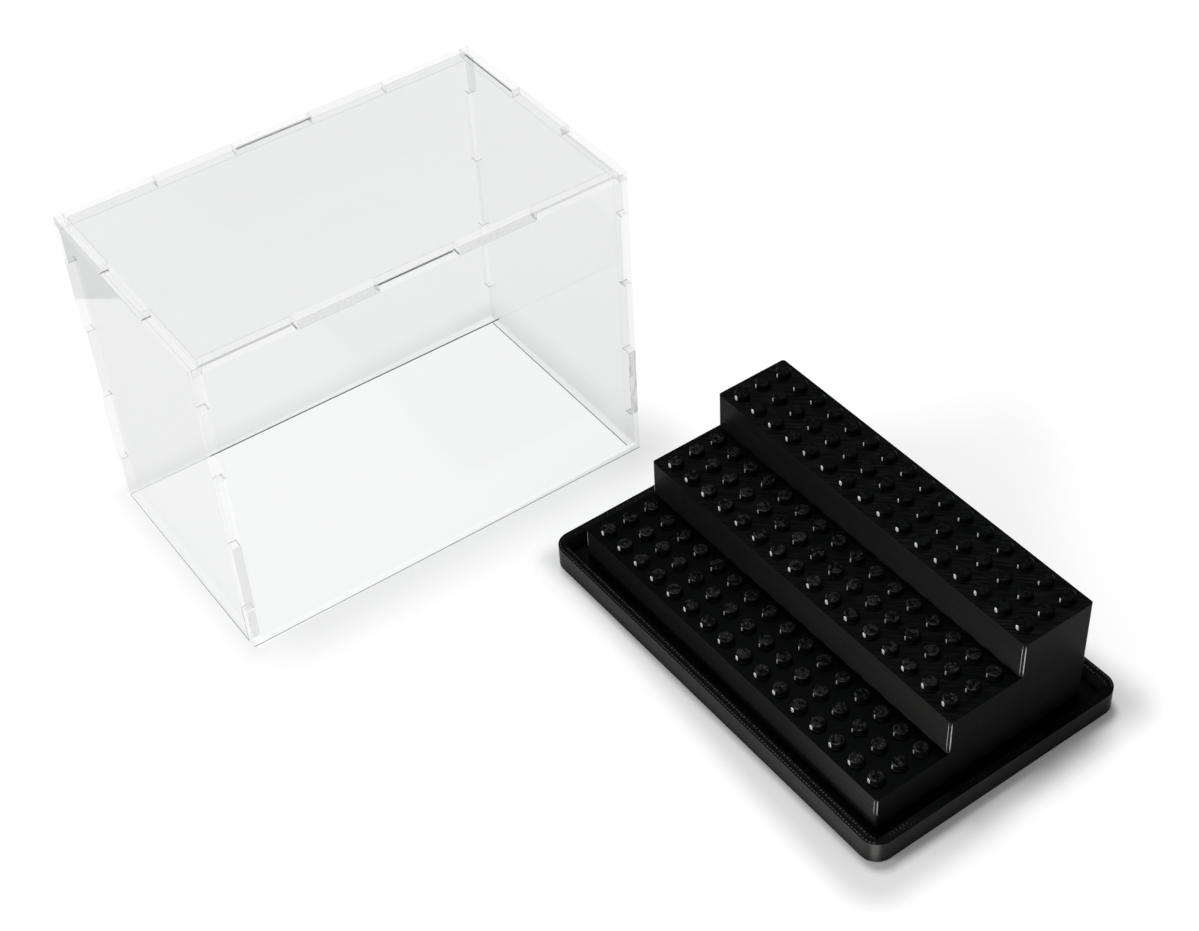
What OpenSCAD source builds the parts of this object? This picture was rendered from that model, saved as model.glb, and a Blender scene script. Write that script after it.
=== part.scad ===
// Stepped display base for small building-toy figures, with a clear five-panel cover.
// The cover is lifted off and stands on the table beside the base.
// Millimetres. Origin at the centre of the tray's underside, X along the steps,
// Y from the front step to the back step, Z up.

/* [Studs] */
// Distance between the centres of neighbouring studs
stud_pitch = 8; // [7.6:0.1:8.4]
// Diameter of a stud
stud_d = 4.8; // [4.2:0.1:5.4]
// Height of a stud above its step
stud_h = 1.8; // [1.2:0.1:2.4]
// Bevel round the top of a stud
stud_bevel = 0.25; // [0.1:0.05:0.5]
// Studs along each step
stud_columns = 16; // [6:1:20]
// Rows of studs on each step
stud_rows = 3; // [2:1:4]

/* [Riser] */
// Number of steps
steps = 3; // [2:1:4]
// Height of the front step's top above the table
front_step_top = 14.4; // [10:0.2:20]
// Height from one step to the next
step_rise = 12.8; // [8:0.2:18]
// Plain strip beyond the studs' squares at each end of a step
end_margin = 1.6; // [0.4:0.2:4]
// Plain strip in front of the studs' squares and behind them
edge_margin = 0.8; // [0.2:0.1:2]
// Rounding of the riser's upright edges
riser_edge_r = 1; // [0.4:0.1:2]

/* [Tray] */
// Thickness of the tray's floor
floor_t = 3.2; // [2:0.2:5]
// Height of the rim's top above the table
rim_top = 7.4; // [6:0.2:9]
// Thickness of the rim
rim_t = 2.8; // [2:0.2:5]
// Rounding of the tray's outer upright corners
tray_corner_r = 5.6; // [2:0.2:8]
// Rounding of the rim's inner upright corners
rim_inner_r = 0.8; // [0.3:0.1:1]

/* [Cover] */
// Thickness of the cover's sheet
panel_t = 3; // [2:0.5:5]
// Height of the cover
cover_h = 109; // [80:1:150]
// Gap between the cover and the rim when the cover is on
rim_gap = 0.3; // [0.2:0.1:1]
// Gap between the cover and each end of the riser when the cover is on
end_gap = 2.2; // [1:0.1:4]
// Gap between the cover and the riser's front and back when the cover is on
side_gap = 1.4; // [0.8:0.1:3]

/* [Finger joints] */
// Width of a finger. The end fingers of an edge take what is left
finger_w = 26; // [16:1:30]
// Gap that the cut leaves between the sides of neighbouring fingers
finger_gap = 0.1; // [0.05:0.05:0.3]

/* [Cover put down] */
// Gap on the table between the tray and the cover
beside_gap = 24.2; // [15:0.2:60]
// Cover's centre behind the base's centre, in front of it when negative
beside_shift = -65; // [-100:1:100]
// Turn of the cover against the base, in degrees
beside_turn = 89; // [80:1:100]

/* [Hidden] */
$fn = 48;
step_depth = stud_rows * stud_pitch + 2 * edge_margin;
riser_l = stud_columns * stud_pitch + 2 * end_margin;
riser_w = steps * step_depth;
cover_l = riser_l + 2 * (end_gap + panel_t);
cover_w = riser_w + 2 * (side_gap + panel_t);
inside_l = cover_l + 2 * rim_gap;
inside_w = cover_w + 2 * rim_gap;
tray_l = inside_l + 2 * rim_t;
tray_w = inside_w + 2 * rim_t;
over = 1;

function step_top(k) = front_step_top + k * step_rise;
function step_front(k) = -riser_w / 2 + k * step_depth;

// Marks where one finger ends and the next begins along an edge. An odd number of full
// fingers is set out from the middle, so that both ends of the edge fall to the same panel.
function full_fingers(length) = max(1, 2 * floor((length / finger_w - 2) / 2) + 1);
function finger_marks(length) =
    let (n = full_fingers(length), first = (length - n * finger_w) / 2)
        concat([0], [for (i = [0:n]) first + i * finger_w], [length]);

module rounded_plate(length, width, r) {
    square([length - 2 * r, width], center = true);
    square([length, width - 2 * r], center = true);
    for (x = [-1, 1], y = [-1, 1])
        translate([x * (length / 2 - r), y * (width / 2 - r)])
            circle(r);
}

// Printed tray: a floor with a rim, leaving a groove round the riser for the cover.
module tray() {
    color([0.07, 0.07, 0.08])
    difference() {
        linear_extrude(rim_top)
            rounded_plate(tray_l, tray_w, tray_corner_r);
        translate([0, 0, floor_t])
            linear_extrude(rim_top)
                rounded_plate(inside_l, inside_w, rim_inner_r);
    }
}

module stud() {
    rotate_extrude()
        polygon([
            [0, -over],
            [stud_d / 2, -over],
            [stud_d / 2, stud_h - stud_bevel],
            [stud_d / 2 - stud_bevel, stud_h],
            [0, stud_h]
        ]);
}

// Rows of studs on one step, centred on its tread.
module stud_rows_on(k) {
    for (i = [0:stud_columns - 1], j = [0:stud_rows - 1])
        translate([
            (i - (stud_columns - 1) / 2) * stud_pitch,
            step_front(k) + step_depth / 2 + (j - (stud_rows - 1) / 2) * stud_pitch,
            step_top(k)
        ])
            stud();
}

// Printed riser: a flight of steps standing on the tray's floor, with studs on every tread.
module riser() {
    color([0.09, 0.09, 0.1])
    for (k = [0:steps - 1]) {
        depth = riser_w / 2 - step_front(k);
        translate([0, step_front(k) + depth / 2, floor_t])
            linear_extrude(step_top(k) - floor_t)
                rounded_plate(riser_l, depth, riser_edge_r);
        stud_rows_on(k);
    }
}

// Notches for every second finger of an edge, from the finger numbered first.
// The edge runs along X and the notches are one sheet thickness deep.
module notches(marks, first) {
    for (i = [first:2:len(marks) - 2])
        translate([marks[i] - finger_gap / 2, -over])
            square([marks[i + 1] - marks[i] + finger_gap, panel_t + over]);
}

// Marks of a corner edge up to the underside of the top panel only.
function marks_below_top(marks) = [for (m = marks) min(m, cover_h - panel_t)];

// Upright edges of a panel's outline: the same cut at both ends.
module both_ends(length) {
    rotate(90)
        mirror([0, 1])
            children();
    translate([length, 0])
        rotate(90)
            children();
}

module top_edge() {
    translate([0, cover_h])
        mirror([0, 1])
            children();
}

// Long upright panel. It holds the end fingers of each corner, below the top panel,
// and gives up the small corner above them to the short panel.
module long_panel() {
    linear_extrude(panel_t)
        difference() {
            square([cover_l, cover_h]);
            both_ends(cover_l) {
                notches(finger_marks(cover_h), 1);
                notches([cover_h - panel_t, cover_h], 0);
            }
            top_edge()
                notches(finger_marks(cover_l), 1);
        }
}

// Short upright panel. It holds the fingers between those of the long panels,
// and both ends of its top edge reach the corners.
module short_panel() {
    linear_extrude(panel_t)
        difference() {
            square([cover_w, cover_h]);
            both_ends(cover_w)
                notches(marks_below_top(finger_marks(cover_h)), 0);
            top_edge()
                notches(finger_marks(cover_w), 1);
        }
}

// Places the assembled cover on the table, left of the base and turned across it.
module beside() {
    translate([-(tray_l / 2 + beside_gap + cover_w / 2), beside_shift, 0])
        rotate(beside_turn)
            translate([-cover_l / 2, -cover_w / 2, 0])
                children();
}

module cover_front() {
    color([0.80, 0.87, 0.86, 0.35])
    beside()
        translate([0, panel_t, 0])
            rotate([90, 0, 0])
                long_panel();
}

module cover_back() {
    color([0.80, 0.87, 0.86, 0.35])
    beside()
        translate([0, cover_w, 0])
            rotate([90, 0, 0])
                long_panel();
}

module cover_left() {
    color([0.78, 0.86, 0.85, 0.35])
    beside()
        rotate([90, 0, 90])
            short_panel();
}

module cover_right() {
    color([0.78, 0.86, 0.85, 0.35])
    beside()
        translate([cover_l - panel_t, 0, 0])
            rotate([90, 0, 90])
                short_panel();
}

// Top panel. Its fingers reach the outer faces between those of the upright panels.
module cover_top() {
    color([0.82, 0.88, 0.87, 0.35])
    beside()
        translate([0, 0, cover_h - panel_t])
            linear_extrude(panel_t)
                difference() {
                    square([cover_l, cover_w]);
                    notches(finger_marks(cover_l), 0);
                    translate([0, cover_w])
                        mirror([0, 1])
                            notches(finger_marks(cover_l), 0);
                    both_ends(cover_l)
                        notches(finger_marks(cover_w), 0);
                }
}

tray();
riser();
cover_front();
cover_back();
cover_left();
cover_right();
cover_top();
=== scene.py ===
import math

import bmesh
import bpy
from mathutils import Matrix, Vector


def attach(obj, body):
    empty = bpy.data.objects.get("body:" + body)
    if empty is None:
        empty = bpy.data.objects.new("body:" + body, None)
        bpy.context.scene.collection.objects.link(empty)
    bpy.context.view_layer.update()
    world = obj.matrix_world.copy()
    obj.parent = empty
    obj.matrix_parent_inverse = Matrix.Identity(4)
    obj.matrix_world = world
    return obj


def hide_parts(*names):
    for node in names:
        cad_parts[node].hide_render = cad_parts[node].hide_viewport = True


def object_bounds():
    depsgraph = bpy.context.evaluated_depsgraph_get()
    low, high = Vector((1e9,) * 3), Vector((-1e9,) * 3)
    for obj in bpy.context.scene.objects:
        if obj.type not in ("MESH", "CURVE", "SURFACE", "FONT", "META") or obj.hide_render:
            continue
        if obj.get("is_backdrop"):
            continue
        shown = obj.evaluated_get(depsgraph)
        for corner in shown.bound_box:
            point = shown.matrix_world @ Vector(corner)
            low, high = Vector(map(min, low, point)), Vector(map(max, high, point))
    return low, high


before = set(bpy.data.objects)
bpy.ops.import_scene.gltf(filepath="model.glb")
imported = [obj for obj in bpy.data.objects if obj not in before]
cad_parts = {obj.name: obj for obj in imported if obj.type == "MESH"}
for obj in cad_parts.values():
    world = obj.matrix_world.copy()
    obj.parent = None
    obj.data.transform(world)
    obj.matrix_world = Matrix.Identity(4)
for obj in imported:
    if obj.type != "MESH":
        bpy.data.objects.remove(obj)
cad_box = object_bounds()


# Tray: the printed black foot of the base, a floor with a rim round it.
# It is printed flat, so its walls show fine level layers and the top of the rim shows
# the passes of the nozzle. It lies loose on the table.
MM = 0.001
TRAY_HALF = (73.9, 45.9)
TRAY_CORNER = 5.6
LAYER = 0.2
BEAD_DEPTH = 0.05
BLACK = (0.0012, 0.0016, 0.0015, 1)
PAINTED_SHEEN_GREY = (0.146, 0.149, 0.142, 1)
PRINT_IOR = 1.09
GLOSS_ROUGHNESS = 0.15
# Passes on the rim: how far in from its outer wall the outer and the inner one run, and how
# long a dash and a turn of the zigzag are.
OUTER_PASS = 0.6
INNER_PASS = 2.2
DASH = 1.1
ZIGZAG = 1.2


class Socket:
    """One socket of a finish. Python's operators on it add Math nodes."""

    def __init__(self, finish, socket):
        self.finish = finish
        self.socket = socket

    def math(self, operation, *values):
        return self.finish.node("Math", {"operation": operation}, dict(enumerate(values)))

    def __add__(self, other):
        return self.math("ADD", self, other)

    def __radd__(self, other):
        return self.math("ADD", other, self)

    def __sub__(self, other):
        return self.math("SUBTRACT", self, other)

    def __rsub__(self, other):
        return self.math("SUBTRACT", other, self)

    def __mul__(self, other):
        return self.math("MULTIPLY", self, other)

    def __rmul__(self, other):
        return self.math("MULTIPLY", other, self)

    def __truediv__(self, other):
        return self.math("DIVIDE", self, other)

    def __neg__(self):
        return self.math("SUBTRACT", 0, self)

    def __abs__(self):
        return self.math("ABSOLUTE", self)

    def __round__(self):
        return self.math("ROUND", self)

    def at_least(self, other):
        return self.math("MAXIMUM", self, other)

    def at_most(self, other):
        return self.math("MINIMUM", self, other)

    def diagonal(self, other):
        """The straight distance for two distances at right angles."""
        return self.math("SQRT", self * self + other * other)

    def sawtooth(self):
        """Rises from 0 to 1 over every unit."""
        return self.math("FLOORED_MODULO", self, 1)

    def ridges(self):
        """Straight-sided ridges, one to every unit, from 0 in the valleys to 1 on the crests."""
        return 1 - abs(self.sawtooth() * 2 - 1)

    def rise(self, low, high):
        """0 below low, 1 above high, with a soft passage between."""
        return self.finish.node(
            "MapRange",
            {"interpolation_type": "SMOOTHSTEP"},
            {"Value": self, "From Min": low, "From Max": high},
        )

    def past(self, mark, soft):
        """0 before a mark and 1 past it, with a soft passage on both sides of the mark."""
        return self.rise(mark - soft, mark + soft)

    def near(self, other, reach):
        """1 where the two values meet, falling to 0 a reach away."""
        return 1 - abs(self - other).rise(0, reach)


class Nodes:
    """The nodes of a material or of the room."""

    def __init__(self, owner):
        owner.use_nodes = True
        self.tree = owner.node_tree
        self.tree.nodes.clear()

    def node(self, kind, settings=None, sockets=None, out=0):
        """A node with its settings, then its sockets set or linked. Gives one of its outputs."""
        made = self.tree.nodes.new("ShaderNode" + kind)
        for name, value in (settings or {}).items():
            setattr(made, name, value)
        for name, value in (sockets or {}).items():
            if isinstance(value, Socket):
                self.tree.links.new(value.socket, made.inputs[name])
            else:
                made.inputs[name].default_value = value
        return Socket(self, made.outputs[out]) if made.outputs else None

    def ray(self, kind):
        """1 for the rays of one kind."""
        return self.node("LightPath", out="Is " + kind + " Ray")


class Finish(Nodes):
    """A material, with its places in the object's own millimetres."""

    def __init__(self, name):
        self.material = bpy.data.materials.new(name)
        super().__init__(self.material)
        self.place = self.node(
            "VectorMath",
            {"operation": "SCALE"},
            {"Vector": self.node("TexCoord", out="Object"), "Scale": 1 / MM},
        )
        self.x, self.y, self.z = self.parts(self.place)
        self.facing = self.node("TexCoord", out="Normal")
        self.right, self.back, self.up = self.parts(self.facing)

    def parts(self, vector):
        split = self.node("SeparateXYZ", None, {"Vector": vector}).socket.node
        return [Socket(self, output) for output in split.outputs]

    def along(self, vector, direction):
        """How far a vector reaches in one direction."""
        return self.node(
            "VectorMath", {"operation": "DOT_PRODUCT"}, {0: vector, 1: direction}, "Value"
        )

    def stretched(self, x, y, z):
        return self.node(
            "VectorMath", {"operation": "MULTIPLY"}, {0: self.place, 1: (x, y, z)}
        )

    def cloud(self, scale, detail=2.0, place=None):
        """Soft noise between 0 and 1, with scale in patches to the millimetre."""
        return self.node(
            "TexNoise",
            None,
            {"Vector": place or self.place, "Scale": scale, "Detail": detail},
        )

    def blend(self, share, first, second):
        """From the first colour to the second."""
        mixed = self.node(
            "Mix", {"data_type": "RGBA"}, {"Factor": share, 6: first, 7: second}
        )
        return Socket(self, mixed.socket.node.outputs[2])

    def mix(self, share, first, second):
        """From the first shader to the second."""
        return self.node("MixShader", None, {0: share, 1: first, 2: second})

    def bump(self, height, depth):
        return self.node(
            "Bump", None, {"Height": height, "Distance": depth * MM, "Strength": 1.0}
        )

    def close(self, surface):
        self.node("OutputMaterial", None, {"Surface": surface})
        return self.material


def dress(node, material):
    """Puts a finish on a solid of the frame, in place of its plain colour."""
    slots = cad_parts[node].data.materials
    slots.clear()
    slots.append(material)


def printed_black(finish, height, roughness, gloss, grey):
    """Black print: nearly no colour of its own, its grey a painted sheen and highlight, with a
    gloss along its beads.
    """
    return finish.close(
        finish.node(
            "BsdfPrincipled",
            None,
            {
                "Base Color": finish.blend(grey, BLACK, PAINTED_SHEEN_GREY),
                "Roughness": roughness,
                "IOR": PRINT_IOR,
                "Coat Weight": gloss,
                "Coat Roughness": GLOSS_ROUGHNESS,
                "Normal": finish.bump(height, BEAD_DEPTH),
            },
        )
    )


def layer_streaks(finish):
    """Long level streaks in the painted sheen of a printed wall, some weaker and some stronger.
    """
    return 0.65 + finish.cloud(1, 3, finish.stretched(0.03, 0.03, 2.5)) * 0.7


def tray_finish():
    finish = Finish("black_print_tray")
    flat = finish.up.rise(0.5, 0.9)
    over_x = abs(finish.x) - (TRAY_HALF[0] - TRAY_CORNER)
    over_y = abs(finish.y) - (TRAY_HALF[1] - TRAY_CORNER)
    corner = over_x.at_least(0).diagonal(over_y.at_least(0))
    inward = TRAY_CORNER - corner - over_x.at_least(over_y).at_most(0)
    patchy = finish.cloud(0.25)
    fine = finish.cloud(1.6, 3)

    # The rim's top has two dashed passes along its length, and a broken zigzag at its ends. They
    # are bumped and glossy, and also painted lighter, a painted highlight.
    at_ends = (over_x - over_y).past(0, 1)
    dashes = (finish.x / DASH + patchy).ridges().rise(0.3, 0.6)
    rows = inward.near(OUTER_PASS, 0.3) + inward.near(INNER_PASS, 0.35) * fine.rise(0.4, 0.55)
    zigzag = (finish.y / ZIGZAG).ridges() * (INNER_PASS - OUTER_PASS)
    strokes = (inward - OUTER_PASS).near(zigzag, 0.35)
    strokes = strokes * finish.cloud(0.05).rise(0.45, 0.6) * fine.rise(0.4, 0.6)
    passes = (rows * dashes * (1 - at_ends) + strokes * at_ends) * inward.rise(0, 0.3) * flat

    # Painted sheen: the walls are painted greyer, on the front towards the right, on the right
    # end towards the front, and most on the near corner, a painted highlight. They are painted
    # darker towards the foot, a painted shade.
    front = (-finish.back).rise(-0.2, 0.9) * (0.08 + finish.x.rise(10, 70) * 0.12)
    end = finish.right.rise(0.5, 0.9) * (0.02 - finish.y.rise(-20, 20) * 0.065)
    turned = finish.right.near(0.7, 0.35) * finish.back.near(-0.7, 0.35) * 0.9
    walls = (1 - flat) * (0.10 + front + end + turned) * finish.z.rise(-6, 7)
    return printed_black(
        finish,
        height=(finish.z / LAYER).ridges() * (1 - flat) * 0.2 + passes * 0.6,
        roughness=0.26 + fine * 0.06,
        gloss=passes,
        grey=walls * layer_streaks(finish) + passes * 0.25,
    )


dress("tray", tray_finish())


# Riser: the printed black flight of three steps, with rows of studs on every tread.
# It is printed in one piece and glued to the tray's floor. The treads show the passes
# of the nozzle side by side, and each stud is topped by a short swirl.
STUD_PITCH = 8
STUD_RADIUS = 2.4
STUD_COLUMNS = 16
STEP_DEPTH = 25.6
FRONT_TREAD = 14.4
STEP_RISE = 12.8
BELOW_TREAD = 0.4
TREAD_PASS = 0.6363
SWIRL_PASS = 0.9


def riser_finish():
    finish = Finish("black_print_riser")
    flat = finish.up.rise(0.5, 0.9)
    from_stud_x = finish.x - (round(finish.x / STUD_PITCH - 0.5) + 0.5) * STUD_PITCH
    on_step_y = finish.y - round(finish.y / STEP_DEPTH) * STEP_DEPTH
    from_stud_y = on_step_y - round(on_step_y / STUD_PITCH) * STUD_PITCH
    from_axis = from_stud_x.diagonal(from_stud_y)
    level = ((finish.z - FRONT_TREAD + BELOW_TREAD) / STEP_RISE).sawtooth() * STEP_RISE
    last_stud = STUD_COLUMNS * STUD_PITCH / 2
    stud = 1 - from_axis.past(STUD_RADIUS + 0.1, 0.05)
    stud = stud * level.past(BELOW_TREAD + 0.2, 0.1)
    stud = stud * (1 - abs(finish.x).rise(last_stud, last_stud + 0.5))
    tread = flat * (1 - stud)

    # A stud's top has a broken ring at its front and short wavy strokes inside, much fainter on
    # the top step. Where they are glossy they are also painted lighter, a painted highlight.
    fine = finish.cloud(1.6, 3)
    swirl = finish.cloud(0.5, 2, finish.stretched(1, 1, 0))
    before = 1 - from_stud_y.rise(-2.0, 0.2)
    rings = from_axis.near(2.0, 0.3) * before * swirl.rise(0.35, 0.6)
    strokes = ((finish.x - finish.y + swirl * 12) / SWIRL_PASS).ridges().rise(0.55, 0.95)
    strokes = strokes * (1 - from_axis.rise(1.6, 2.1))
    tops = flat * stud * (rings + strokes) * (1 - finish.z.rise(38, 41) * 0.8)
    gloss = tops * finish.cloud(0.7, 2).rise(0.38, 0.55)

    # Painted sheen: all walls are painted a little grey, the fronts greyer towards the right and
    # most at the right of the lowest step, the right ends lower down, and the faces turned away
    # from the lamps a little more. The treads are greyer along their passes, more on the higher
    # steps.
    to_the_right = finish.x.rise(-50, 85) * (1.3 - finish.z.rise(28, 40) * 0.45)
    lowest_end = finish.x.rise(25, 66) * (1 - finish.z.rise(14.3, 16)) * 1.4
    front = (-finish.back).rise(0.2, 0.9) * (0.25 + to_the_right + lowest_end) * 0.10
    end = finish.right.rise(0.5, 0.9) * (1 - finish.z.rise(8, 34)) * 0.07
    away_side_sheen = finish.back.at_least(-finish.right).rise(0.5, 0.9) * 0.06
    walls = (1 - flat) * (1 - stud * 0.8) * (0.03 + front + end + away_side_sheen)
    slanted = finish.node(
        "CombineXYZ",
        None,
        {0: (finish.x - finish.y) * 1.2, 1: (finish.x + finish.y) * 0.08, 2: finish.z},
    )
    passes = tread * finish.cloud(1, 3, slanted).rise(0.35, 0.75) * finish.z.rise(10, 40)

    layers = (finish.z / LAYER).ridges() * (1 - flat) * 0.2
    raster = ((finish.x - finish.y) / TREAD_PASS).ridges()
    return printed_black(
        finish,
        height=layers + tops + tread * (raster * 0.1 + fine * 0.2),
        roughness=0.2 + fine * 0.06,
        gloss=gloss,
        grey=walls * layer_streaks(finish) + passes * 0.05 + gloss * 0.3,
    )


dress("riser", riser_finish())


# Seams: beads where the nozzle starts each layer of an outline, painted pale as a painted
# highlight, the glint that they catch. They run up the front of every stud, widest on the front
# row, and up the upright corners of the steps.
STUD_ROWS = 3
STUD_HEIGHT = 1.8
STEPS = 3
RISER_HALF = 65.6
RISER_EDGE = 1.0
RIM_TOP = 7.4
RING_SIDES = 8
RINGS = 7
GLINT_DULL = (0.60, 0.61, 0.61, 1)
GLINT_PALE = (0.90, 0.91, 0.90, 1)
SHADED_GLINT_GREY = (0.10, 0.10, 0.10, 1)
SEAM_DEPTH = 0.02
# Beads on the studs: the way that they face and wander, in degrees, and their sizes.
BEAD_FACING = -95
BEAD_WANDER = 6
FRONT_BEAD = dict(width=1.25, height=STUD_HEIGHT, proud=0.12)
OTHER_BEAD = dict(width=0.6, height=1.65, proud=0.09)
OTHER_LIFT = Vector((0, 0, 0.1))
# Beads on a step's corners: the end of the step, the way that they face, and their width.
CORNER_BEADS = ((1, -30, 0.30), (1, -84, 0.16), (-1, -112, 0.18))
CORNER_PROUD = 0.05
CORNER_SHORT = 0.2


def add_object(name, data):
    made = bpy.data.objects.new(name, data)
    bpy.context.scene.collection.objects.link(made)
    return made


def add_bead(mesh, foot, facing, width, height, proud):
    """A rounded upright bead, half sunk in the wall that it stands on, in millimetres."""
    out = Vector((math.cos(facing), math.sin(facing), 0))
    across = Vector((-out.y, out.x, 0))
    rings = []
    for level in range(1, RINGS):
        share = level / RINGS
        swell = math.sqrt(1 - abs(2 * share - 1) ** 4)
        middle = foot + Vector((0, 0, height * share))
        ring = []
        for side in range(RING_SIDES):
            turn = 2 * math.pi * side / RING_SIDES
            offset = across * (math.cos(turn) * width / 2) + out * (math.sin(turn) * proud)
            ring.append(mesh.verts.new((middle + offset * swell) * MM))
        rings.append(ring)
    for lower, upper in zip(rings, rings[1:]):
        for side in range(RING_SIDES):
            after = (side + 1) % RING_SIDES
            mesh.faces.new((lower[side], lower[after], upper[after], upper[side]))
    for ring, end in ((rings[0][::-1], 0), (rings[-1], height)):
        tip = mesh.verts.new((foot + Vector((0, 0, end))) * MM)
        for side in range(RING_SIDES):
            mesh.faces.new((ring[side], ring[(side + 1) % RING_SIDES], tip))


def seam_and_glint_finish():
    """A painted highlight on the beads, thinner and with painted shade behind the front row of
    the two lower steps.
    """
    finish = Finish("print_seam_painted_glint")
    unevenness = finish.cloud(1.1, 2)
    glint_colour = finish.blend(unevenness.rise(0.3, 0.7), GLINT_DULL, GLINT_PALE)
    on_step_y = finish.y - round((finish.y + 1) / STEP_DEPTH) * STEP_DEPTH
    shaded_rows = on_step_y.rise(-8, -5) * (1 - finish.z.rise(38, 40))
    return finish.close(
        finish.node(
            "BsdfPrincipled",
            None,
            {
                "Base Color": finish.blend(shaded_rows * 0.45, glint_colour, SHADED_GLINT_GREY),
                "Roughness": 0.3 + unevenness * 0.2,
                "Normal": finish.bump((finish.z / LAYER).ridges(), SEAM_DEPTH),
            },
        )
    )


def step_top(step):
    return FRONT_TREAD + step * STEP_RISE


def step_front(step):
    return (step - STEPS / 2) * STEP_DEPTH


seams = bmesh.new()
for step in range(STEPS):
    for row in range(STUD_ROWS):
        for column in range(STUD_COLUMNS):
            wander = BEAD_WANDER * math.sin(7 * column + 3 * row + step)
            facing = math.radians(BEAD_FACING + wander)
            middle = Vector((
                (column - (STUD_COLUMNS - 1) / 2) * STUD_PITCH,
                step_front(step) + STEP_DEPTH / 2 + (row - 1) * STUD_PITCH,
                step_top(step),
            ))
            wall = middle + Vector((math.cos(facing), math.sin(facing), 0)) * STUD_RADIUS
            if row == 0:
                add_bead(seams, wall, facing, **FRONT_BEAD)
            else:
                add_bead(seams, wall + OTHER_LIFT, facing, **OTHER_BEAD)
    foot = RIM_TOP if step == 0 else step_top(step - 1)
    for side, degrees, width in CORNER_BEADS:
        facing = math.radians(degrees)
        corner = Vector((
            side * (RISER_HALF - RISER_EDGE) + RISER_EDGE * math.cos(facing),
            step_front(step) + RISER_EDGE + RISER_EDGE * math.sin(facing),
            foot,
        ))
        height = step_top(step) - foot - CORNER_SHORT
        add_bead(seams, corner, facing, width, height, CORNER_PROUD)
seam_mesh = bpy.data.meshes.new("print_seams_and_glints")
seams.to_mesh(seam_mesh)
seams.free()
seam_mesh.shade_smooth()
seam_mesh.materials.append(seam_and_glint_finish())
print_seams_and_glints = add_object("print_seams_and_glints", seam_mesh)
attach(print_seams_and_glints, "base")


# Cover: five panels of clear cast sheet, laser-cut with fingers and bonded edge to edge.
# The faces are polished. The cut edges are frosted and keep the fine marks of the beam,
# and a hairline stays open at every bonded seam.
COVER_TURN = math.radians(89)
COVER_MIDDLE = Vector((-140.9, -65, 0))
COVER_HALF = (42.8, 70.8)
COVER_HEIGHT = 109
SHEET = 3
UNDERSIDE = COVER_HEIGHT - SHEET
HALF_WIDTH, HALF_LENGTH = COVER_HALF
LENGTHWISE = Vector((math.cos(COVER_TURN), math.sin(COVER_TURN), 0))
CROSSWISE = Vector((-math.sin(COVER_TURN), math.cos(COVER_TURN), 0))
DOWN = Vector((0, 0, -1))
SEAM = 0.02
CUT_CHAMFER = 0.12
SHEET_IOR = 1.3
CLEAR = (1, 1, 1, 1)
FACE_TINT = (0.953, 0.956, 0.9545, 1)
FROST = (0.97, 0.975, 0.972, 1)
HAIRLINE_AND_FOOT_SHADE = (0.15, 0.16, 0.14, 1)
LAMP_SHARE = (0.984, 0.987, 0.986, 1)
# Where the end fingers of the top edges start, from the edge's middle, then up the corners
# the lowest finger of a short end, where the top finger starts, and the far seams' line.
END_FINGER = 39
LOW_FINGER = (15.5, 41.5)
TOP_FINGER = 93.5
FAR_SEAM = 108.3

# For each panel: the way its inner face looks, how far its outer face lies from the cover's
# middle, the way its edges run and how far. Its marks follow: the dark line at its foot, a
# painted shade where it stands on the table (on which face, how high, how dark, and from where
# along the edge it has its full strength), the stretches of its upper seam that show as a dark
# line (from, to, how dark) and the height of that line, the heights between which its cuts
# towards the front are matt or streaked and the first end of its outer face is matt, and an
# upright seam line (where and how high).
LONG_SIDE = dict(outside=HALF_WIDTH, run=LENGTHWISE, half=HALF_LENGTH)
SHORT_END = dict(outside=HALF_LENGTH, run=CROSSWISE, half=HALF_WIDTH)
PANELS = {
    "cover_front": (
        dict(LONG_SIDE, inward=CROSSWISE),
        dict(
            foot=("outer", 0.55, 0.65, -80),
            seams=((-70, -39, 0.45), (-13, 13, 0.95), (39, 70, 0.25)),
            matt_end=(4, 15),
        ),
    ),
    "cover_back": (
        dict(LONG_SIDE, inward=-CROSSWISE),
        dict(foot=("inner", 0.7, 0.9, -42), seams=((-13, 13, 0.8),), seam_at=FAR_SEAM),
    ),
    "cover_left": (
        dict(SHORT_END, inward=LENGTHWISE),
        dict(foot=("outer", 0.65, 1.0, -80), matt=LOW_FINGER, upright=(-39.6, 15)),
    ),
    "cover_right": (
        dict(SHORT_END, inward=-LENGTHWISE),
        dict(
            foot=("inner", 0.7, 0.9, -80),
            seams=((13, 40, 1.0), (-39, -13, 0.2)),
            seam_at=FAR_SEAM,
            matt=LOW_FINGER,
            streaked=LOW_FINGER,
        ),
    ),
    "cover_top": (
        dict(outside=COVER_HEIGHT, run=LENGTHWISE, half=HALF_LENGTH, inward=DOWN),
        dict(matt=(100, 110)),
    ),
}


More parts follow.
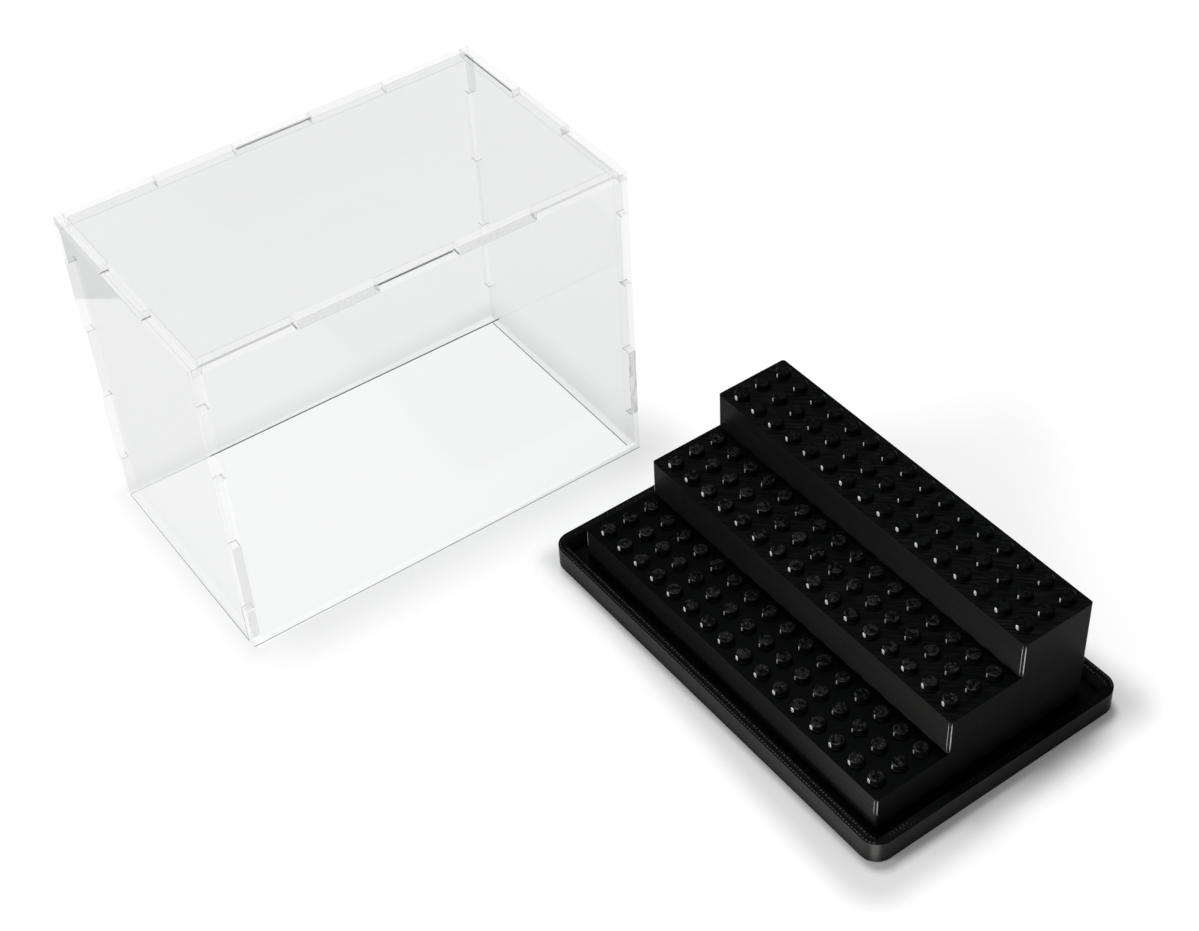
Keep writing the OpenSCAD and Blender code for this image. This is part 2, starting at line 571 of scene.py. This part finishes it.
class Sheet(Finish):
    """The clear sheet of one panel, with its places also measured from the cover's middle."""

    def __init__(self, name, outside, run, half, inward):
        super().__init__(name)
        self.inward = inward
        self.run = run
        self.half = half
        self.lengthwise = self.from_middle(LENGTHWISE)
        self.crosswise = self.from_middle(CROSSWISE)
        self.on_run = self.from_middle(run)
        self.depth = self.from_middle(inward) + outside
        self.backward = self.node("NewGeometry", out="Backfacing")
        self.square_on = self.looking(inward)
        self.inner = self.square_on.rise(0.6, 0.9)
        self.outer = (-self.square_on).rise(0.6, 0.9)
        self.cut = 1 - abs(self.square_on).rise(0.3, 0.6)

        # The thickness of the two far sides keeps some tint. At the two far corners, below
        # the top finger, the cuts hardly show.
        far_side = self.crosswise.rise(HALF_WIDTH - SHEET - 0.4, HALF_WIDTH - SHEET)
        far_end = self.lengthwise.rise(HALF_LENGTH - SHEET - 0.4, HALF_LENGTH - SHEET)
        self.far = far_side.at_least(far_end)
        far_corners = (abs(self.lengthwise) + self.crosswise).past(102, 2)
        self.quiet = far_corners * (1 - self.z.past(TOP_FINGER, 0.5))

    def from_middle(self, direction):
        """How far a place lies from the cover's middle in one direction."""
        return self.along(self.place, direction) - direction.dot(COVER_MIDDLE)

    def looking(self, direction):
        """How squarely the outside of the sheet looks in one direction, from -1 to 1."""
        return self.along(self.facing, direction) * (1 - 2 * self.backward)

    def between(self, heights):
        """1 between two heights, and 0 everywhere where none are given."""
        if not heights:
            return 0
        low, high = heights
        return self.z.rise(low, low + 0.1) - self.z.rise(high - 0.1, high)

    def towards_front(self):
        """The cuts that end in the cover's outer front face."""
        front = (-self.looking(CROSSWISE)).rise(0.6, 0.9)
        return front * (-self.crosswise).rise(HALF_WIDTH - 0.8, HALF_WIDTH - 0.3)


def seen_through(sheet):
    """A weak tint on the faces, and nearly none on the cuts and where panels overlap."""
    overlap = sheet.z.past(UNDERSIDE, 0.2)
    if sheet.inward == DOWN:
        overlap = abs(sheet.crosswise).past(HALF_WIDTH - SHEET, 0.2)
    overlap = overlap.at_least(abs(sheet.on_run).past(sheet.half - SHEET, 0.2))
    bare = (overlap * (1 - sheet.quiet)).at_least(sheet.cut)
    bare = bare * (1 - sheet.far * (1 - sheet.quiet) * 0.85)
    tinted = sheet.node("BsdfTransparent", None, {"Color": FACE_TINT})
    clear = sheet.node("BsdfTransparent", None, {"Color": CLEAR})
    return sheet.mix(bare, tinted, clear)


def polished_face(sheet, through):
    """A clean mirror over what is seen through it, with faint smears."""
    smears = sheet.cloud(0.03, 3)
    shine = sheet.node("BsdfGlossy", None, {"Roughness": smears.rise(0.5, 0.9) * 0.04 + 0.01})
    mirror = sheet.node("Fresnel", None, {"IOR": SHEET_IOR}) * (1 - sheet.backward)
    return sheet.mix(mirror, through, shine)


def frosted_cut(sheet, through, matt):
    """A thin frost with the marks of the beam across the sheet, and thick where it is matt."""
    across = [1 - 0.97 * abs(part) for part in sheet.inward]
    beam = sheet.cloud(1.4, 2, sheet.stretched(*across))
    on_top = sheet.up.rise(0.3, 0.8) * sheet.z.rise(COVER_HEIGHT - 1, COVER_HEIGHT)
    share = 0.06 + beam * 0.06 + on_top * (0.10 - sheet.far * 0.10)
    share = share + matt * (0.42 + beam * 0.16)
    share = share * (1 - sheet.quiet) * sheet.z.rise(0, 0.3)
    lit = sheet.node("BsdfDiffuse", None, {"Color": FROST})
    glow = sheet.node("BsdfTranslucent", None, {"Color": FROST})
    return sheet.mix(share, through, sheet.mix(0.5, lit, glow))


def dark_lines(sheet, foot, seams, seam_at, upright, streaked):
    """Painted shade at the foot; hairlines in the seams, beside the fingers, along the broken
    edges.
    """
    lines = 0
    # The dark line at the foot is a painted shade where the panel stands on the table.
    if foot:
        face, high, darkness, start = foot
        low = (1 - sheet.z.past(high, 0.1)) * (sheet.inner if face == "inner" else sheet.outer)
        lines = low * darkness * (0.3 + sheet.on_run.past(start, 1) * 0.7)
    for start, end, darkness in seams:
        stretch = sheet.on_run.rise(start, start + 0.5) - sheet.on_run.rise(end - 0.5, end)
        lines = lines + stretch * sheet.inner * sheet.z.near(seam_at, 0.6) * darkness
    if upright:
        at, high = upright
        lines = lines + sheet.outer * sheet.on_run.near(at, 0.4) * sheet.between((1, high)) * 0.6
    sides = sheet.cut * abs(sheet.looking(sheet.run)).rise(0.6, 0.9)
    sides = sides * (1 - abs(sheet.on_run).past(END_FINGER + 0.6, 0.1))
    lines = lines + sides * sheet.z.near(UNDERSIDE + 0.5, 0.5) * (0.8 - sheet.far * 0.6)
    ends = sheet.cut * abs(sheet.up).rise(0.6, 0.9) * sheet.depth.rise(2.3, 2.6)
    lines = lines + ends * sheet.between((10, 100)) * 0.35
    strokes = sheet.cloud(1.6, 2, sheet.stretched(1, 1, 0.12)).rise(0.4, 0.7)
    strokes = strokes * sheet.towards_front() * sheet.cut * sheet.between(streaked)
    lines = lines + strokes * 0.35
    broken = abs(sheet.square_on).near(0.707, 0.1) * (1 - sheet.quiet) * sheet.z.rise(0.5, 1)
    return lines + broken * (0.08 + sheet.z.rise(UNDERSIDE - 2, UNDERSIDE - 1) * 0.14)


def sheet_finish(
    name, panel,
    foot=None, seams=(), seam_at=UNDERSIDE, matt=None, streaked=None, matt_end=None, upright=None,
):
    """Clear sheet with frosted cuts, dark hairlines and a painted shade at its foot. It lets most
    of the lamps' light by.
    """
    sheet = Sheet(name, **panel)
    through = seen_through(sheet)
    first_end = (-sheet.on_run).rise(sheet.half - SHEET, sheet.half - SHEET + 0.3)
    patch = sheet.outer * first_end * sheet.between(matt_end)
    frosted = frosted_cut(sheet, through, sheet.towards_front() * sheet.between(matt) + patch)
    surface = sheet.mix(sheet.cut.at_least(patch), polished_face(sheet, through), frosted)
    dark = sheet.node("BsdfDiffuse", None, {"Color": HAIRLINE_AND_FOOT_SHADE})
    lines = dark_lines(sheet, foot, seams, seam_at, upright, streaked)
    surface = sheet.mix(lines, surface, dark)
    lamps = sheet.node("BsdfTransparent", None, {"Color": LAMP_SHARE})
    passing = sheet.ray("Shadow").at_least(sheet.ray("Diffuse"))
    return sheet.close(sheet.mix(passing, surface, lamps))


def cut_panel(node):
    """The panel's solid with hairline seams and its sharp edges just broken."""
    panel = bmesh.new()
    panel.from_mesh(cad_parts[node].data)
    bmesh.ops.remove_doubles(panel, verts=panel.verts, dist=1e-6)
    bmesh.ops.dissolve_limit(
        panel, angle_limit=math.radians(1), verts=panel.verts, edges=panel.edges
    )
    panel.normal_update()
    moves = {}
    for corner in panel.verts:
        sides = []
        for face in corner.link_faces:
            if all(face.normal.dot(side) < 0.99 for side in sides):
                sides.append(face.normal.copy())
        moves[corner] = sum(sides, Vector()) * -SEAM * MM
    for corner, move in moves.items():
        corner.co += move
    bmesh.ops.bevel(
        panel,
        geom=list(panel.edges),
        offset=CUT_CHAMFER * MM,
        segments=1,
        affect="EDGES",
        profile=0.5,
    )
    mesh = bpy.data.meshes.new(node.replace("cover", "clear"))
    panel.to_mesh(mesh)
    panel.free()
    return add_object(mesh.name, mesh)


for node, (panel, marks) in PANELS.items():
    piece = cut_panel(node)
    finish_name = node.replace("cover", "clear_sheet")
    piece.data.materials.append(sheet_finish(finish_name, panel, **marks))
    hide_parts(node)
    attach(piece, "cover")


# Table: the matt white top of a broad studio table, on which base and cover stand loose.
# It runs on far behind them. Beyond the cover, out of the picture, a darker patch is painted on
# it that only mirrors see, a painted reflection that shows in the cover's left end.
TABLE_HALF = 15
TABLE_DROP = 0.03
SHADE_REACH = 35
MIRRORED_PATCH_PLACE = Vector((-286, -163, 0))
MIRRORED_PATCH_AWAY = Vector((-0.809, -0.588, 0))
MIRRORED_PATCH_ACROSS = Vector((0.588, -0.809, 0))
MIRRORED_PATCH_SOFT = (60, 70)
MIRRORED_PATCH_GREY = (0.20, 0.21, 0.21, 1)
TABLE_WHITE = ((0.79, 0.79, 0.79, 1), (0.81, 0.81, 0.81, 1))
UNLIT = (0, 0, 0, 1)
FULL_WHITE = (1, 1, 1, 1)


def table_finish():
    """Matt white, quite white to the eye where nothing stands close by, with painted shade near
    things.
    """
    finish = Finish("matt_white_table")
    grain = finish.cloud(0.01, 2)
    seen = finish.ray("Camera")
    glossy = finish.ray("Glossy")
    transmitted = finish.ray("Transmission")

    def apart(middle, half, inside):
        """How far a place lies from the outline of something that stands on the table,
        and the given number of times as far for a place inside it."""
        off_x = abs(finish.x - middle[0]) - half[0]
        off_y = abs(finish.y - middle[1]) - half[1]
        out = off_x.at_least(0).diagonal(off_y.at_least(0))
        return out - off_x.at_least(off_y).at_most(0) * inside

    def from_mirrored_patch(direction):
        return finish.along(finish.place, direction) - direction.dot(MIRRORED_PATCH_PLACE)

    # A painted shade round the base, which leans to the right and the front, away from the lamp.
    lean = finish.x.rise(-74, 74) * (1 - finish.y.rise(-20, 40) * 0.7) * 8 - 4
    last_corner = finish.x.rise(30, 74) * finish.y.rise(10, 46)
    open_floor = (apart((0, 0), TRAY_HALF, 0) - lean).rise(2, 12 + last_corner * 5)

    # A weak painted shade at the cover's right and a narrow painted shade all round its foot,
    # which are there only while something stands close over the table.
    from_cover = apart(COVER_MIDDLE, COVER_HALF, 14)
    by_cover = 1 - from_cover.rise(0, 22)
    by_cover = by_cover * finish.x.rise(-130, -98) * finish.y.rise(-148, -116)
    by_cover = by_cover.at_least((1 - from_cover.rise(-2, 10)) * 0.7)
    clear_of = finish.node(
        "AmbientOcclusion", {"samples": 16}, {"Distance": SHADE_REACH * MM}, "AO"
    )
    by_cover = by_cover * (1 - clear_of).rise(0, 0.12)
    open_floor = open_floor * (1 - by_cover * (0.6 + finish.y.rise(-20, 5) * 0.25))

    # A painted reflection: a darker patch on the table that only mirrors see.
    away = from_mirrored_patch(MIRRORED_PATCH_AWAY)
    mirrored_patch = away.past(0, 1) * (1 - away.rise(*MIRRORED_PATCH_SOFT))
    mirrored_patch = mirrored_patch * (1 - abs(from_mirrored_patch(MIRRORED_PATCH_ACROSS)).rise(*MIRRORED_PATCH_SOFT))
    mirrored_patch = mirrored_patch * glossy * (1 - transmitted)

    # Painted light: to the right of and behind the base the table is painted brighter over the
    # cast shade.
    painted_lift_behind_base = (finish.x + finish.y).rise(70, 120) * 0.09
    shown = (glossy + transmitted).at_most(1) * 0.22
    shown = shown.at_least(seen * (0.27 + painted_lift_behind_base)) * open_floor * (1 - mirrored_patch)
    distant = finish.x.diagonal(finish.y).rise(300, 900) * seen
    top = finish.blend(mirrored_patch, finish.blend(grain, *TABLE_WHITE), MIRRORED_PATCH_GREY)
    return finish.close(
        finish.node(
            "BsdfPrincipled",
            None,
            {
                "Base Color": finish.blend(distant, top, UNLIT),
                "Roughness": 0.8 + grain * 0.1,
                "Specular IOR Level": 0.1,
                "Emission Color": finish.blend(
                    shown * (1 - distant) + distant, UNLIT, FULL_WHITE
                ),
                "Emission Strength": 1.0,
            },
        )
    )


table_mesh = bpy.data.meshes.new("table")
table_mesh.from_pydata(
    [
        (x * TABLE_HALF, y * TABLE_HALF, -TABLE_DROP * MM)
        for x, y in ((-1, -1), (1, -1), (1, 1), (-1, 1))
    ],
    [],
    [(0, 1, 2, 3)],
)
table_mesh.materials.append(table_finish())
table = add_object("table", table_mesh)
table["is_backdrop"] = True


# Studio: a wide soft lamp high at the left, a low strip at the front, and a white room that
# is dimmer as a light than it looks. Each lamp has the direction that it stands in, how far
# off and how high, its width and height, and how bright its face is.
LIT_PLACE = Vector((-0.05, -0.02, 0.03))
LAMPS = {
    "key": (160, 2.4, 5.4, 1.9, 1.9, 15.0),
    "fill": (-110, 5.6, 2.2, 3.0, 1.6, 8.0),
}
for name, (azimuth, distance, up, width, height, radiance) in LAMPS.items():
    lamp = bpy.data.lights.new(name, "AREA")
    lamp.shape = "RECTANGLE"
    lamp.size = width
    lamp.size_y = height
    lamp.energy = math.pi * width * height * radiance
    turn = math.radians(azimuth)
    stand = Vector((distance * math.cos(turn), distance * math.sin(turn), up))
    softbox = add_object(name, lamp)
    softbox.location = stand
    softbox.rotation_euler = (LIT_PLACE - stand).to_track_quat("-Z", "Y").to_euler()

world = bpy.data.worlds.new("white_room")
bpy.context.scene.world = world
room = Nodes(world)
mirrored = room.ray("Glossy") * (1 - room.ray("Transmission"))
strength = 1 - room.ray("Diffuse") * 0.5 - mirrored * 0.65
background = room.node("Background", None, {"Strength": strength})
room.node("OutputWorld", None, {"Surface": background})


# Camera: a still camera with a short tele lens, held where the photograph was taken from.
# It looks down over the near corner of the base, and light may pass often enough through
# the sheets for all five panels to be seen through each other.
SHEET_PASSES = 32
view = bpy.data.cameras.new("camera")
view.sensor_fit = "HORIZONTAL"
view.sensor_width = 36
view.lens = 65.623
view.clip_end = 100
camera = add_object("camera", view)
camera.location = (0.32568, -0.29341, 0.47850)
camera.rotation_euler = [math.radians(angle) for angle in (46.7621, 2.6693, 53.7458)]
scene = bpy.context.scene
scene.camera = camera
scene.view_settings.view_transform = "Standard"
scene.cycles.max_bounces = SHEET_PASSES
scene.cycles.transmission_bounces = SHEET_PASSES
scene.cycles.transparent_max_bounces = SHEET_PASSES

({
        "cad": [list(corner) for corner in cad_box],
        "visual": [list(corner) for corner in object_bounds()],
    })
